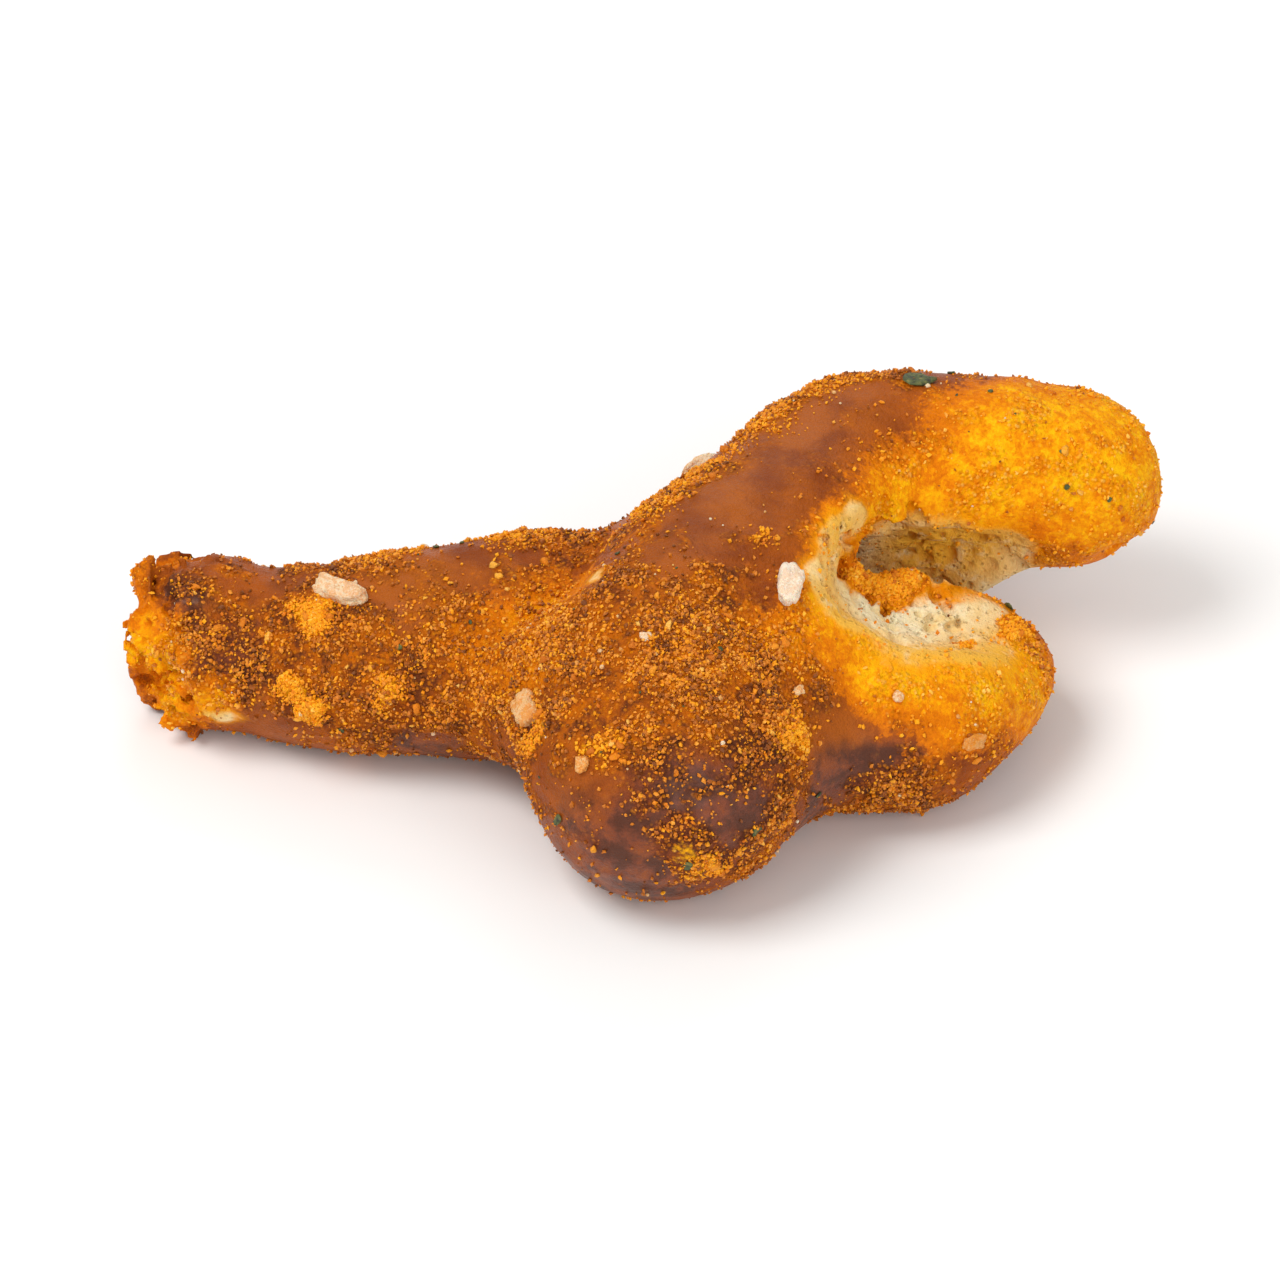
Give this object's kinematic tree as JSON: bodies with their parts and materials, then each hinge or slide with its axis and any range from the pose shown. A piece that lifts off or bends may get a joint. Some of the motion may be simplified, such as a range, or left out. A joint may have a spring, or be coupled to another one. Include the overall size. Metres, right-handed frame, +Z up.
{
  "type": "hard pretzel bite",
  "caption": "Broken piece of a thick baked pretzel where two ropes of dough cross, with a torn pale mouth, glossy brown crust, salt and seasoning.",
  "frame": {"origin": "on the flat sole, under the middle of the piece's box", "axes": "+X along the lower rope from the broken arm to the torn mouth, +Y to the back, +Z up"},
  "size_m": [0.054, 0.033, 0.0149],
  "materials": {
    "crust": "baked crust, glossy chestnut brown on the ropes, matte golden orange round the breaks, cream crumb where torn",
    "salt": "chipped pretzel salt, dulled by oil",
    "seasoning": "dry orange seasoning grains and crumbs",
    "herb": "dried dark green and black flecks"
  },
  "bodies": {
    "root": {"pretzel_bite": "crust"}
  },
  "joints": []
}
